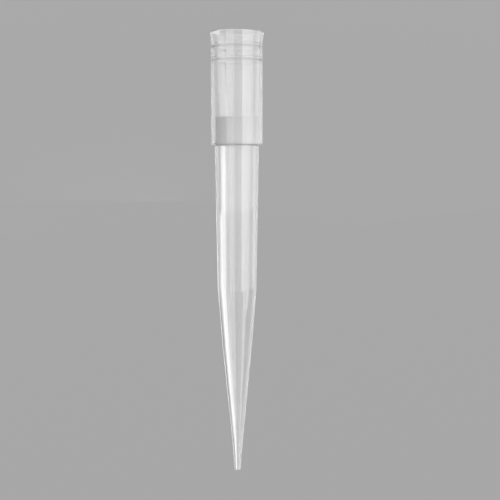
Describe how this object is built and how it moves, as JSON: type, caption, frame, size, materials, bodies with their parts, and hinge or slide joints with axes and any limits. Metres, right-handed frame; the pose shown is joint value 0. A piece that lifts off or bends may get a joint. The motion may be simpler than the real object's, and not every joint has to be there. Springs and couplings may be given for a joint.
{
  "type": "pipette tip",
  "caption": "Long tapered pipette tip with a flared collar, a step below the collar, fine sealing rings inside and a porous filter plug.",
  "frame": {"origin": "centre of the collar's rim, on which the tip stands", "axes": "+Z along the tip's axis from the rim to the point; the tip is round, so X and Y are free"},
  "size_m": [0.0094, 0.0094, 0.078],
  "materials": {
    "polypropylene": "translucent natural polypropylene, glossy as moulded",
    "filter_media": "white sintered porous polyethylene, matt and finely grained"
  },
  "bodies": {
    "root": {"tip_body": "polypropylene", "filter_plug": "filter_media"}
  },
  "joints": []
}
